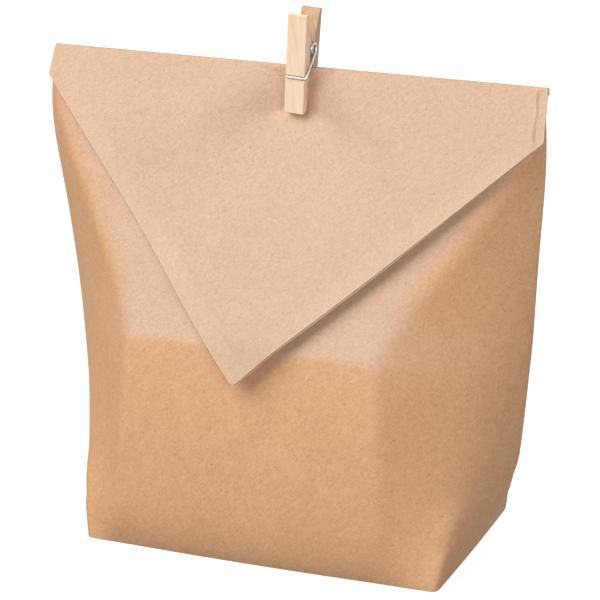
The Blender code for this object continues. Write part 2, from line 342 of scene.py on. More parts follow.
@dataclass(frozen=True)
class Finish:
    """What every finish has: a name and a Principled shader to dress."""

    name: str

    def start(self) -> tuple[bpy.types.Material, Sketch, bpy.types.Node]:
        """Make the empty material.

        Returns:
            The material, a sketch of its tree and its Principled node.
        """
        material = bpy.data.materials.new(self.name)
        material.use_nodes = True
        shader = material.node_tree.nodes["Principled BSDF"]
        return material, Sketch(material.node_tree), shader

    def effect(self, s: Sketch, tree: bpy.types.NodeTree) -> bpy.types.Node:
        """Place a shared effect, fed with the piece's own coordinates.

        Args:
            s: A sketch of the material's tree.
            tree: The effect.

        Returns:
            Its node.
        """
        where = s.node("ShaderNodeTexCoord").outputs["Object"]
        return s.node("ShaderNodeGroup", {"Vector": where}, node_tree=tree)

    def relief(self, s: Sketch, shader: bpy.types.Node, height: Socket,
               strength: float, distance: float) -> None:
        """Give the surface its finest relief.

        Args:
            s: A sketch of the material's tree.
            shader: The shader to dress.
            height: The relief's height.
            strength: How strongly it shows, 0 to 1.
            distance: How deep it is.
        """
        values = {"Height": height, "Strength": strength, "Distance": distance}
        s.feed(shader, {"Normal": s.node("ShaderNodeBump", values).outputs[0]})


@dataclass(frozen=True)
class PaperFinish(Finish):
    """Brown kraft paper with a soft sheen; where it faces up, a paler, greyer colour is painted in
    as painted sheen.
    """

    brown: Colour = linear(221, 172, 131)
    # Painted sheen: the paler, greyer paper colour that stands in for the overhead light's sheen on
    # surfaces facing up.
    painted_sheen_colour: Colour = linear(206, 171, 143)
    fleck: Colour = linear(150, 104, 70)
    fleck_share: float = 0.5
    # Painted highlight: a lighter colour along the flap's edges and raised crease, where they catch
    # the light.
    painted_highlight: Colour = linear(240, 214, 188)
    painted_highlight_share: float = 0.55
    lighter: Colour = (1.12, 1.13, 1.15)
    darker: Colour = (0.86, 0.84, 0.81)
    tone_range: Pair = (0.2, 0.8)
    roughness: Pair = (0.53, 0.63)
    sheen: Pair = (0.06, 0.3)
    fibres: bpy.types.NodeTree | None = None

    def make(self) -> bpy.types.Material:
        """Build the material.

        Returns:
            The finished material.
        """
        material, s, shader = self.start()
        group = self.effect(s, self.fibres)
        tone = group.outputs["Tone"]
        # Painted highlight mask, read from the mesh.
        painted_highlight_mask = s.node("ShaderNodeAttribute", attribute_name="painted_highlight_mask").outputs["Fac"]
        # Painted sheen mask: it mixes in the paler colour where the paper faces up, and it also
        # raises the real specular level.
        painted_sheen_and_gloss = s.node("ShaderNodeAttribute", attribute_name="painted_sheen_and_gloss").outputs["Fac"]
        base = s.mix(painted_sheen_and_gloss, self.brown, self.painted_sheen_colour)
        light = s.mix(1.0, base, self.lighter, "MULTIPLY")
        dark = s.mix(1.0, base, self.darker, "MULTIPLY")
        toned = s.mix(s.ramp(tone, *self.tone_range), dark, light)
        fleck_share = s.maths("MULTIPLY", group.outputs["Flecks"], self.fleck_share)
        flecked = s.mix(fleck_share, toned, self.fleck)
        painted_highlight = s.mix(s.maths("MULTIPLY", painted_highlight_mask, self.painted_highlight_share), flecked, self.painted_highlight)
        rough = s.ramp(tone, *self.tone_range, *self.roughness)
        gloss = s.ramp(painted_sheen_and_gloss, 0.0, 1.0, *self.sheen)
        s.feed(shader, {"Base Color": painted_highlight, "Roughness": rough, "Specular IOR Level": gloss})
        self.relief(s, shader, group.outputs["Height"], 0.35, 0.00012)
        return material


@dataclass(frozen=True)
class WoodFinish(Finish):
    """Pale, dry wood with fine grain."""

    light: Colour = linear(248, 221, 192)
    dark: Colour = linear(236, 202, 166)
    grain: bpy.types.NodeTree | None = None
    pore: Colour = linear(170, 124, 84)
    pore_share: float = 0.3
    roughness: Pair = (0.62, 0.5)

    def make(self) -> bpy.types.Material:
        """Build the material.

        Returns:
            The finished material.
        """
        material, s, shader = self.start()
        group = self.effect(s, self.grain)
        rings = group.outputs["Rings"]
        base = s.mix(rings, self.light, self.dark)
        pore_share = s.maths("MULTIPLY", group.outputs["Pores"], self.pore_share)
        pored = s.mix(pore_share, base, self.pore)
        rough = s.ramp(rings, 0.0, 1.0, *self.roughness)
        s.feed(shader, {"Base Color": pored, "Roughness": rough})
        self.relief(s, shader, group.outputs["Height"], 0.3, 0.0001)
        return material


@dataclass(frozen=True)
class WireFinish(Finish):
    """Drawn steel wire, bright with faint marks along it."""

    steel: Colour = linear(196, 194, 190)
    dull: Colour = linear(150, 148, 146)
    roughness: Pair = (0.22, 0.38)

    def make(self) -> bpy.types.Material:
        """Build the material.

        Returns:
            The finished material.
        """
        material, s, shader = self.start()
        where = s.node("ShaderNodeTexCoord").outputs["Object"]
        marks = s.noise(where, 2600.0, 3.0, 0.6)
        tone = s.mix(s.ramp(marks, 0.35, 0.7), self.steel, self.dull)
        rough = s.ramp(marks, 0.3, 0.7, *self.roughness)
        s.feed(shader, {"Base Color": tone, "Metallic": 1.0, "Roughness": rough})
        return material


# Shapes


def placed_object(name: str, data: bpy.types.ID) -> bpy.types.Object:
    """Put an object in the scene.

    Args:
        name: Its name.
        data: Its mesh, line, lamp or camera.

    Returns:
        The object.
    """
    made = bpy.data.objects.new(name, data)
    bpy.context.scene.collection.objects.link(made)
    return made


def dress_mesh(mesh: bpy.types.Mesh, material: bpy.types.Material) -> None:
    """Shade a mesh smooth and give it one finish.

    Args:
        mesh: The mesh.
        material: Its finish.
    """
    mesh.shade_smooth()
    mesh.materials.clear()
    mesh.materials.append(material)


def mesh_object(name: str, vertices: np.ndarray, faces: Iterable[Sequence[int]],
                material: bpy.types.Material) -> bpy.types.Object:
    """A smooth-shaded object for points and faces.

    Args:
        name: The object's name.
        vertices: Points, one row each.
        faces: Corner numbers of each face.
        material: Its finish.

    Returns:
        The object, linked to the scene.
    """
    mesh = bpy.data.meshes.new(name)
    mesh.from_pydata([tuple(v) for v in vertices], [], [tuple(f) for f in faces])
    mesh.validate()
    dress_mesh(mesh, material)
    return placed_object(name, mesh)


def write_values(mesh: bpy.types.Mesh, name: str, values: np.ndarray) -> None:
    """Store one number for each point of a mesh.

    Args:
        mesh: The mesh.
        name: What the numbers are called.
        values: The numbers.
    """
    layer = mesh.attributes.new(name, "FLOAT", "POINT")
    layer.data.foreach_set("value", values.astype(np.float32))


def rows_of(items: bpy.types.bpy_prop_collection, name: str) -> np.ndarray:
    """Read three numbers from each item of a mesh.

    Args:
        items: The mesh's points or their directions.
        name: What to read.

    Returns:
        The numbers, one row each.
    """
    flat = np.zeros(len(items) * 3)
    items.foreach_get(name, flat)
    return flat.reshape(-1, 3)


def apply_modifiers(made: bpy.types.Object) -> None:
    """Put the result of an object's modifiers in place of its mesh.

    Args:
        made: The object.
    """
    graph = bpy.context.evaluated_depsgraph_get()
    mesh = bpy.data.meshes.new_from_object(made.evaluated_get(graph))
    made.modifiers.clear()
    made.data = mesh


def front_of(made: bpy.types.Object, reach: float) -> Callable[[float, float], float]:
    """Look at an object from the front.

    Args:
        made: The object.
        reach: How far round a place to look as well.

    Returns:
        A function of x and z that gives the foremost depth there, or 1 where there is nothing.
    """
    mesh = made.data
    points = rows_of(mesh.vertices, "co")
    surface = BVHTree.FromPolygons(points, [tuple(p.vertices) for p in mesh.polygons])
    steps = ((0.0, 0.0), (-reach, 0.0), (reach, 0.0), (0.0, -reach), (0.0, reach))

    def depth(x: float, z: float) -> float:
        """The foremost depth here and just round about."""
        hits = (surface.ray_cast((x + a, -1.0, z + b), (0.0, 1.0, 0.0))[0] for a, b in steps)
        return min((hit.y for hit in hits if hit is not None), default=1.0)

    return depth


@dataclass(frozen=True)
class Swell:
    """A shallow rise or dent in the paper."""

    centre: Point
    reach: Point
    height: float

    def lift(self, points: np.ndarray) -> np.ndarray:
        """How far each point is lifted."""
        away = (points - np.array(self.centre)) / np.array(self.reach)
        return self.height * np.exp(-(away ** 2).sum(1))


@dataclass(frozen=True)
class Crease:
    """A pressed line in the paper that stands up or sinks along its path."""

    path: Sequence[Point]
    width: float
    height: float
    fade: float

    def reach(self, points: np.ndarray) -> tuple[np.ndarray, np.ndarray]:
        """Distance from the line, and how near the point is to the line's ends.

        Args:
            points: Points, one row each.

        Returns:
            The distance to the path, and a share that falls to 0 at its two ends.
        """
        line = np.array(self.path)
        best = np.full(len(points), 1e9)
        along = np.zeros(len(points))
        run = 0.0
        for start, end in zip(line, line[1:]):
            way = end - start
            length = np.linalg.norm(way)
            share = np.clip((points - start) @ way / length ** 2, 0.0, 1.0)
            away = np.linalg.norm(points - start - share[:, None] * way, axis=1)
            nearer = away < best
            best[nearer] = away[nearer]
            along[nearer] = run + share[nearer] * length
            run += length
        ends = ease(along, 0.0, self.fade) * ease(run - along, 0.0, self.fade)
        return best, ends

    def lift(self, points: np.ndarray) -> np.ndarray:
        """How far each point is lifted."""
        away, ends = self.reach(points)
        return self.height * ends * np.exp(-np.abs(away / self.width) ** 1.5)

    def mark(self, points: np.ndarray) -> np.ndarray:
        """How strongly the painted highlight along the line shows at each point, 0 to 1."""
        away, ends = self.reach(points)
        return ends * np.exp(-((away / (self.width * 0.8)) ** 2))


@dataclass
class BagSizes:
    """The bag's own sizes."""

    base_width: float = 0.132
    base_depth: float = 0.0816
    shoulder_z: float = 0.0798
    fold_z: float = 0.1701
    fold_width: float = 0.181
    fold_shift: float = -0.0021
    shoulder_width: float = 0.1705
    top_thickness: float = 0.0012
    flap_length: float = 0.1113
    flap_tip_x: float = -0.0053
    flap_thickness: float = 0.0008
    flap_lift: float = 0.0004
    flap_slope: float = math.radians(27.0)
    flap_tip_slope: float = math.radians(18.0)
    flap_bows: Pair = (0.0010, 0.0008)
    flap_left_side: float = 0.0103
    flap_right_side: float = 0.0178
    peg_width: float = 0.007
    peg_z: float = 0.1544
    dent_slope: float = 0.66
    dent_spread: float = 0.42
    dent_round: float = 0.005
    dent_flat: float = 0.75

    @property
    def stack_front(self) -> float:
        """The front of the folded paper under the peg."""
        return -(self.top_thickness / 2 + self.flap_lift + self.flap_thickness)

    def pressed(self, depth: np.ndarray, x: np.ndarray, z: np.ndarray,
                flat: float) -> np.ndarray:
        """The depth the peg leaves, in a wide shallow dent that rises away from it.

        Args:
            depth: Depths before the peg is put on.
            x: Places across.
            z: Heights.
            flat: Depth under the peg itself.

        Returns:
            The depths, never less than the flat one where they were more.
        """
        down = self.dent_slope * np.maximum(self.peg_z - z, 0.0)
        floor = self.peg_width * self.dent_flat
        aside = self.dent_spread * np.maximum(np.abs(x) - floor, 0.0)
        room = flat + np.hypot(down, aside)
        near = np.clip(0.5 + 0.5 * (room - depth) / self.dent_round, 0, 1)
        soft = room + (depth - room) * near - self.dent_round * near * (1 - near)
        return np.where(depth > flat, np.maximum(soft, flat), depth)


PANEL_SHARES = (0.3, 0.42, 0.5, 0.58, 0.7)


@dataclass(frozen=True)
class Section:
    """One level section of the bag: panel edges, outer corners and side ridges."""

    height: float
    shift: float
    edges: Pair
    front: float
    corners: tuple[Pair, Pair]
    ridge: float
    back: float

    def ring(self, bulge: float) -> list[Vector]:
        """List the twenty points round the section, from the left ridge by the front.

        Args:
            bulge: How much further the middle of each panel stands out, as a share.

        Returns:
            The points.
        """
        left, right = self.edges
        middle = [left + (right - left) * share for share in PANEL_SHARES]
        panel = [(left, -self.front)]
        panel += [(x, -self.front * (1 + bulge)) for x in middle]
        panel += [(right, -self.front)]
        (left_x, left_y), (right_x, right_y) = self.corners
        share = self.back / self.front
        points = [(-self.ridge, 0.0), self.corners[0], *panel, self.corners[1]]
        points += [(self.ridge, 0.0), (right_x, -right_y)]
        points += [(x, -y * share) for x, y in reversed(panel)]
        points += [(left_x, -left_y)]
        return [Vector((x + self.shift, y, self.height)) for x, y in points]


@dataclass
class BagBody:
    """The filled bag below its flap."""

    sizes: BagSizes
    levels: int = 4
    corner_folds: Sequence[float] = (0.9, 0.7, 0.45, 0.2, 0.0)
    front_folds: Sequence[float] = (0.35, 0.6, 0.7, 0.7, 0.7, 0.6, 0.5, 0.4, 0.3, 0.2, 0.1)
    ridge_folds: Sequence[float] = (0.0, 0.0, 0.3, 0.6, 0.6, 0.6, 0.6, 0.6, 0.6, 0.6, 0.6, 0.6)
    shoulder_fold: float = 0.45
    rim_fold: float = 0.85
    shoulder_ring: int = 7
    bulge: float = 0.02
    bulge_top: float = 0.7
    panel_left: float = 0.79
    panel_right: float = 0.69
    # Where the painted sheen goes: above the shoulder, on surfaces facing up, and weaker on the
    # back.
    painted_sheen_heights: Pair = (0.7, 1.05)
    painted_sheen_slopes: Pair = (0.04, 0.48)
    back_depths: Pair = (-0.002, 0.012)
    back_less_painted_sheen: float = 0.6

    def sections(self) -> list[Section]:
        """List the sections up the bag, from the base to just under the fold.

        Returns:
            The sections, lowest first.
        """
        s = self.sizes
        wide, deep = s.base_width / 2, s.base_depth / 2
        side, top, thin = s.shoulder_width / 2, s.fold_width / 2, s.top_thickness / 2
        low, rise = s.shoulder_z, s.fold_z - s.shoulder_z
        left, right = wide * self.panel_left, wide * self.panel_right

        def up(share: float) -> float:
            """Height at a share of the way up the gable."""
            return low + rise * share

        def section(height: float, shift: float, edges: Pair, front: float,
                    corners: tuple[Pair, Pair], ridge: float, back: float = 0.0) -> Section:
            """Make one section from distances off the middle.

            Args:
                height: Its height.
                shift: How far it lies to the right.
                edges: How far out the left and right edges of the panels are.
                front: The front panel's depth.
                corners: How far out and how deep the left and right corners are.
                ridge: How far out the side ridges are.
                back: The back panel's depth, where it isn't the front's.

            Returns:
                The section.
            """
            (first, second), ((ax, ay), (bx, by)) = edges, corners
            return Section(height, shift, (-first, second), front, ((-ax, -ay), (bx, -by)),
                           ridge, back or front)

        def alike(x: float, y: float) -> tuple[Pair, Pair]:
            """The same corner on both sides."""
            return ((x, y), (x, y))

        # Height, shift, edges, front, corners, ridges and back
        rows = (
            (low * 0.17, 0.0, (1, 1), 1.1, ((1.03, 0.94), (1.03, 0.9)), 0.9, 0),
            (low * 0.35, 0.0, (0.99, 1), 1.11, ((1.07, 0.80), (1.07, 0.76)), 0.955, 0),
            (low * 0.62, 0.0, (0.95, 1), 1.1, ((1.10, 0.56), (1.12, 0.58)), 0.98, 0),
            (low * 0.88, 0.0, (0.93, 0.97), 1.065, ((1.12, 0.46), (1.15, 0.48)), 1, 0),
            (low, 0.0, (0.93, 0.95), 1.03, ((1.13, 0.42), (1.16, 0.43)), 1.01, 1.02),
            (up(0.12), -0.0004, (0.99, 1.03), 0.87, ((1.15, 0.36), (1.17, 0.36)), 1.02, 0.82),
            (up(0.4), -0.0016, (1.28, 1.43), 0.58, alike(1.25, 0.2), 1.045, 0.51),
            (up(0.68), -0.0034, (1.54, 1.85), 0.305, alike(1.34, 0.10), 1.085, 0.255),
            (up(0.88), -0.0034, (1.69, 1.97), 0.095, alike(1.385, 0.05), 1.075, 0),
        )
        belly = [section(height, shift, (left * a, right * b), deep * front,
                         ((wide * c, deep * d), (wide * e, deep * f)), side * ridge, deep * back)
                 for height, shift, (a, b), front, ((c, d), (e, f)), ridge, back in rows]
        return [
            section(0.0, 0.0, (left * 0.95, right * 0.95), deep * 0.93,
                    alike(wide * 0.95, deep * 0.93), wide * 0.955),
            section(0.0, 0.0, (left, right), deep, alike(wide, deep), wide * 1.005),
            section(low * 0.05, 0.0, (left, right), deep * 1.045,
                    alike(wide * 1.01, deep * 0.985), wide * 1.06),
            *belly,
            section(up(0.965), s.fold_shift, (top * 0.965, top * 0.965), thin * 1.4,
                    alike(top * 0.985, thin * 1.3), top * 0.985),
            section(s.fold_z - 0.0011, s.fold_shift, (top * 0.96, top * 0.96), thin,
                    alike(top * 0.98, thin * 0.9), top * 0.975),
        ]

    def cage(self) -> bpy.types.Mesh:
        """Make the coarse shape with its fold lines marked.

        Returns:
            The mesh.
        """
        shape = bmesh.new()
        bulge_top = self.sizes.shoulder_z * self.bulge_top
        rings = []
        for section in self.sections():
            bulge = self.bulge if section.height < bulge_top else 0.0
            rings.append([shape.verts.new(point) for point in section.ring(bulge)])
        count = len(rings[0])
        half = count // 2
        for low, high in zip(rings, rings[1:]):
            for i in range(count):
                j = (i + 1) % count
                shape.faces.new((low[i], low[j], high[j], high[i]))
        for ring, flip in ((rings[0], True), (rings[-1], False)):
            for i in range(half):
                face = list(dict.fromkeys([ring[i], ring[i + 1], ring[-i - 1], ring[-i]]))
                shape.faces.new(face[::-1] if flip else face)
        crease = shape.edges.layers.float.new("crease_edge")
        for ring in (rings[1], rings[-1]):
            for i in range(count):
                shape.edges.get((ring[i], ring[(i + 1) % count]))[crease] = self.rim_fold
        upright = {
            1: self.corner_folds, half - 1: self.corner_folds,
            2: self.front_folds, half - 2: self.front_folds,
            0: self.ridge_folds,
        }
        for column, folds in upright.items():
            for low, high, sharp in zip(rings[1:], rings[2:], folds):
                for i in {column, (count - column) % count if column else half}:
                    shape.edges.get((low[i], high[i]))[crease] = sharp
        shoulder = rings[self.shoulder_ring]
        for i in range(2, half - 2):
            for j in (i, count - i - 1):
                shape.edges.get((shoulder[j], shoulder[j + 1]))[crease] = self.shoulder_fold
        mesh = bpy.data.meshes.new("bag_body")
        shape.to_mesh(mesh)
        shape.free()
        return mesh

    def build(self, material: bpy.types.Material) -> bpy.types.Object:
        """Build the body.

        Args:
            material: The paper.

        Returns:
            The object, with its painted highlight mask, empty here, and its painted sheen mask
            stored.
        """
        made = placed_object("bag_body", self.cage())
        rounder = made.modifiers.new("soft folds", "SUBSURF")
        rounder.levels = rounder.render_levels = self.levels
        apply_modifiers(made)
        mesh = made.data
        points = rows_of(mesh.vertices, "co")
        thin = self.sizes.top_thickness / 2
        depth = self.sizes.pressed(np.abs(points[:, 1]), points[:, 0], points[:, 2], thin)
        points[:, 1] = np.copysign(depth, points[:, 1])
        mesh.vertices.foreach_set("co", points.ravel())
        mesh.update()
        normals = rows_of(mesh.vertex_normals, "vector")
        dress_mesh(mesh, material)
        # Painted sheen: a paler colour where the paper faces up above the shoulder, weaker on the
        # back. The same mask sets the real specular level.
        low, high = (self.sizes.shoulder_z * share for share in self.painted_sheen_heights)
        upper = ease(points[:, 2], low, high)
        upper *= 1 - self.back_less_painted_sheen * ease(points[:, 1], *self.back_depths)
        write_values(mesh, "painted_sheen_and_gloss", upper * ease(normals[:, 2], *self.painted_sheen_slopes))
        # The body gets no painted highlight.
        write_values(mesh, "painted_highlight_mask", np.zeros(len(points)))
        LOG.info("bag_body: %d faces", len(mesh.polygons))
        return made


@dataclass
class Flap:
    """The pointed flap: the bag's mouth folded over the top, two sheets of paper."""

    sizes: BagSizes
    columns: int = 190
    rows: int = 120
    sheet: float = 0.0003
    apart: float = 0.00025
    trim: float = 0.0004
    overhang: float = 0.0006
    slip: float = 0.0006
    slip_run: Pair = (0.02, 0.07)
    spare: float = 0.0004
    look_round: float = 0.001
    back_share: float = 0.1
    tail: float = 0.0016
    calm: float = 0.001
    fold_steps: int = 10
    bend: float = 0.72
    spacing: tuple[Sequence[float], Sequence[float]] = (
        (0, 0.12, 0.4, 0.6, 0.88, 1), (0, 0.045, 0.43, 0.57, 0.955, 1))
    flank_lean: float = 0.7
    # Painted highlight along the flanks, the cut rims and the raised strip, where the folded edges
    # catch the light.
    flank_band: Pair = (0.008, 0.004)
    flank_run: Pair = (0.012, 0.03)
    flank_painted_highlight: float = 0.16
    rim: float = 0.0004
    rim_painted_highlight: float = 0.5
    ridge_painted_highlight: float = 0.6
    sharp_angle: float = math.radians(55)
    strip_end: float = 0.022
    strip_line: Sequence[Pair] = (
        (0.0852, -0.001), (0.0855, 0.004), (0.0860, 0.0085), (0.0857, 0.0115),
        (0.0860, 0.0150), (0.0864, 0.0200),
    )
    strip_step: float = 0.00042
    strip_edge: float = 0.0007
    relief: Sequence[Swell] = (
        Swell((0.055, 0, 0.025), (0.012, 1, 0.010), -0.0004),
        Swell((-0.062, 0, 0.024), (0.020, 1, 0.012), 0.0005),
        Swell((0.003, 0, 0.096), (0.013, 1, 0.011), 0.0018),
        Swell((-0.046, 0, 0.060), (0.016, 1, 0.036), -0.0020),
        Swell((-0.020, 0, 0.062), (0.016, 1, 0.022), 0.0005),
        Swell((0.018, 0, 0.052), (0.014, 1, 0.020), -0.0004),
    )

    def creases(self) -> list[Crease]:
        """List the pressed lines, placed by x and the distance down the flap.

        Returns:
            The raised strip's line first.
        """
        strip = [(x, 0.0, run) for x, run in self.strip_line]
        return [
            Crease(strip, 0.00050, 0.00046, 0.0006),
            Crease([(0.0247, 0, 0.017), (0.038, 0, 0.036), (0.0491, 0, 0.054)], 0.007, -0.0004,
                   0.016),
            Crease([(-0.0726, 0, 0.0137), (-0.069, 0, 0.0146), (-0.0655, 0, 0.0168)], 0.0008,
                   -0.00012, 0.003),
        ]

    def path(self, rows: int, longer: float) -> np.ndarray:
        """The flap's middle line over the fold and down.

        Args:
            rows: Steps from the fold to the tip.
            longer: How much further than the plain length it runs.

        Returns:
            Depth, height and distance from the fold, one row each.
        """
        s = self.sizes
        back = s.top_thickness * self.back_share
        front = s.stack_front + s.flap_thickness / 2
        radius = (back - front) / 2
        centre_y = (back + front) / 2
        centre_z = s.fold_z - radius - s.flap_thickness / 2
        points = [(back, centre_z - self.tail, -self.tail - math.pi * radius)]
        for i in range(self.fold_steps + 1):
            turn = (math.pi - s.flap_slope) * i / self.fold_steps
            points.append((centre_y + radius * math.cos(turn), centre_z + radius * math.sin(turn),
                           -radius * (math.pi - s.flap_slope - turn)))
        y, z, run = points[-1]
        bend = s.flap_length * self.bend
        length = s.flap_length + longer
        stops = [length * i / rows for i in range(1, rows + 1)]
        for distance in sorted(stops + [s.flap_left_side, s.flap_right_side]):
            part = max(0.0, (distance - bend) / (s.flap_length - bend))
            slope = s.flap_slope + (s.flap_tip_slope - s.flap_slope) * part
            y -= (distance - run) * math.sin(slope)
            z -= (distance - run) * math.cos(slope)
            run = distance
            points.append((y, z, run))
        return np.array(points)

    def sides(self, run: float) -> Pair:
        """Find the flap's left and right end at one place down it.

        Args:
            run: The distance down from the fold.

        Returns:
            The two ends' x.
        """
        s = self.sizes
        ends = []
        for top, corner, side, bow, waves in (
            (-s.fold_width / 2 + s.fold_shift + 0.0004, -0.0006, s.flap_left_side,
             s.flap_bows[0], 1.27),
            (s.fold_width / 2 + s.fold_shift, 0.0012, s.flap_right_side, s.flap_bows[1], 1.0),
        ):
            down = max(run, 0.0)
            if down < side:
                ends.append(top + corner * down / side)
            else:
                share = min((down - side) / (s.flap_length - side), 1.0)
                flank = top + corner + (s.flap_tip_x - top - corner) * share
                ends.append(flank + bow * math.sin(math.pi * waves * share) * (1 - share ** 6))
        return ends[0] - self.spare, ends[1] + self.spare

    def middle(self, columns: int, path: np.ndarray, behind: Callable,
               slip: float) -> tuple[np.ndarray, np.ndarray]:
        """The flap's middle surface, kept clear of the body behind it.

        Args:
            columns: Steps across.
            path: The middle line.
            behind: Gives the body's foremost depth at a place.
            slip: How far the sheet lies to the right, down at the tip.

        Returns:
            The points, and each point's x and distance down, both as rows by columns.
        """
        s = self.sizes
        shares = np.interp(np.linspace(0, 1, columns + 1), *self.spacing)
        ends = np.array([self.sides(run) for run in path[:, 2]])
        ends += slip * ease(path[:, 2], *self.slip_run)[:, None]
        x = ends[:, :1] + (ends[:, 1:] - ends[:, :1]) * shares
        y, z, run = (np.repeat(path[:, i:i + 1], columns + 1, 1) for i in range(3))
        front = s.stack_front + s.flap_thickness / 2
        ahead = y < front
        y = np.where(ahead, -s.pressed(-y, x, z, -front), y)
        limit = np.array([behind(a, b) for a, b in zip(x.ravel(), z.ravel())]).reshape(x.shape)
        y = np.where(ahead, np.minimum(y, limit - s.flap_lift - s.flap_thickness / 2), y)
        return np.stack((x, y, z), 2), np.stack((x, 0 * x, run), 2)

    def build_sheet(self, name: str, columns: int, rows: int, offset: float, longer: float,
                    slip: float, behind: Callable, material: bpy.types.Material
                    ) -> bpy.types.Object:
        """Build one of the two sheets.

        Args:
            name: The sheet's name.
            columns: Steps across.
            rows: Steps down.
            offset: How far in front of the middle surface it lies.
            longer: How much further than the plain length it runs.
            slip: How far it lies to the right at the tip.
            behind: Gives the body's foremost depth at a place.
            material: The paper.

        Returns:
            The sheet, with its painted highlight mask and its painted sheen mask stored.
        """
        path = self.path(rows, longer)
        grid, flat = self.middle(columns, path, behind, slip)
        down, across = np.gradient(grid, axis=0), np.gradient(grid, axis=1)
        normal = np.cross(down, across)
        normal /= np.linalg.norm(normal, axis=2)[:, :, None]
        places = flat.reshape(-1, 3)
        lift = sum(mark.lift(places) for mark in (*self.relief, *self.creases()))
        line = np.array(self.strip_line)
        beyond = places[:, 0] - np.interp(places[:, 2], line[:, 1], line[:, 0])
        above = places[:, 2] < self.strip_end
        lift -= self.strip_step * ease(beyond, 0.0, self.strip_edge) * above
        lift *= ease(places[:, 2], -self.calm, self.calm)
        points = grid.reshape(-1, 3) + normal.reshape(-1, 3) * (offset + lift)[:, None]
        width = columns + 1
        faces = [(a, a + width, a + width + 1, a + 1)
                 for r in range(len(path) - 1) for a in range(r * width, r * width + columns)]
        made = mesh_object(name, points, faces, material)
        # Painted highlight: lighter bands along the flanks and rims and along the raised strip,
        # where the edges catch the light.
        left, right = (np.repeat(grid[:, end, 0], width) for end in (0, -1))
        inside = np.minimum(places[:, 0] - left, right - places[:, 0]) * self.flank_lean
        band = ease(inside, *self.flank_band) * ease(places[:, 2], *self.flank_run)
        band *= self.flank_painted_highlight
        rim = self.rim_painted_highlight * ease(inside, self.rim, 0.0)
        ridge = self.ridge_painted_highlight * self.creases()[0].mark(places)
        write_values(made.data, "painted_highlight_mask", np.clip(band + rim + ridge, 0, 1))
        # The whole flap gets the full painted sheen.
        write_values(made.data, "painted_sheen_and_gloss", np.ones(len(points)))
        thick = made.modifiers.new("paper", "SOLIDIFY")
        thick.thickness = self.sheet
        thick.offset = 0.0
        thick.use_even_offset = True
        apply_modifiers(made)
        made.data.set_sharp_from_angle(angle=self.sharp_angle)
        LOG.info("%s: %d faces", name, len(made.data.polygons))
        return made

    def build(self, body: bpy.types.Object, material: bpy.types.Material
              ) -> list[bpy.types.Object]:
        """Build both sheets.

        Args:
            body: The bag's body, which they lie on.
            material: The paper.

        Returns:
            The front sheet and the back sheet.
        """
        behind = front_of(body, self.look_round)
        front = self.build_sheet("flap_front_sheet", self.columns, self.rows, self.apart,
                                 -self.trim, 0.0, behind, material)
        back = self.build_sheet("flap_back_sheet", self.columns // 2, self.rows // 2,
                                -self.apart, self.overhang, self.slip, behind, material)
        return [front, back]


@dataclass
class SpringWire:
    """The peg's spring: one wire with a coil and two hooked arms."""

    lean: float = math.radians(3.4)
    foot: Point = (0.0, -0.0006, 0.1544)
    peg_width: float = 0.007
    jaw_outer: float = 0.0058
    splay: float = math.radians(2.4)
    clearance: float = 0.0003
    wire: float = 0.00045
    coil_radius: float = 0.00155
    coil_turns: float = 6.5
    coil_height: float = 0.0223
    arm_height: float = 0.0128
    steps_a_turn: int = 24
    hook_short: float = 0.0005

    def place(self) -> Matrix:
        """Peg coordinates to the bag's."""
        return Matrix.Translation(self.foot) @ Matrix.Rotation(self.lean, 4, "Y")

    def path(self) -> list[Point]:
        """Trace the wire's middle line.

        Returns:
            Its points in the peg's own coordinates, from the back arm to the front arm.
        """
        arm_x = self.peg_width / 2 + self.clearance + self.wire
        arm_y = self.jaw_outer + self.arm_height * math.tan(self.splay) + self.wire * 0.25
        end = self.peg_width / 2 - self.hook_short
        up = self.arm_height
        hook = [
            (-end, -arm_y, up),
            (arm_x - 0.0010, -arm_y, up),
            (arm_x - 0.0004, -arm_y + 0.00012, up + 0.0001),
            (arm_x, -arm_y + 0.0007, up + 0.0008),
            (arm_x, self.coil_radius * 0.55, self.coil_height - self.coil_radius * 0.95),
        ]
        back = [(-x, -y, z) for x, y, z in hook]
        steps = round(self.coil_turns * self.steps_a_turn)
        coil = []
        for i in range(steps + 1):
            share = i / steps
            turn = math.pi - 2 * math.pi * self.coil_turns * share
            coil.append((-arm_x + 2 * arm_x * share, self.coil_radius * math.cos(turn),
                         self.coil_height + self.coil_radius * math.sin(turn)))
        return back + coil + hook[::-1]

    def build(self, material: bpy.types.Material) -> bpy.types.Object:
        """Build the wire.

        Args:
            material: The steel.

        Returns:
            The object.
        """
        curve = bpy.data.curves.new("spring_line", "CURVE")
        curve.dimensions = "3D"
        curve.bevel_depth = self.wire
        curve.bevel_resolution = 4
        curve.use_fill_caps = True
        line = curve.splines.new("POLY")
        path = self.path()
        line.points.add(len(path) - 1)
        for point, place in zip(line.points, path):
            point.co = (*place, 1.0)
        bent = placed_object("spring_line", curve)
        graph = bpy.context.evaluated_depsgraph_get()
        mesh = bpy.data.meshes.new_from_object(bent.evaluated_get(graph))
        bpy.data.objects.remove(bent, do_unlink=True)
        mesh.transform(self.place())
        dress_mesh(mesh, material)
        made = placed_object("spring_wire", mesh)
        LOG.info("spring_wire: %d faces", len(mesh.polygons))
        return made

    def dress(self, made: bpy.types.Object) -> None:
        """Bake the wire's placement into its mesh.

        Args:
            made: The wire.
        """
        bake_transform(made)


# Studio


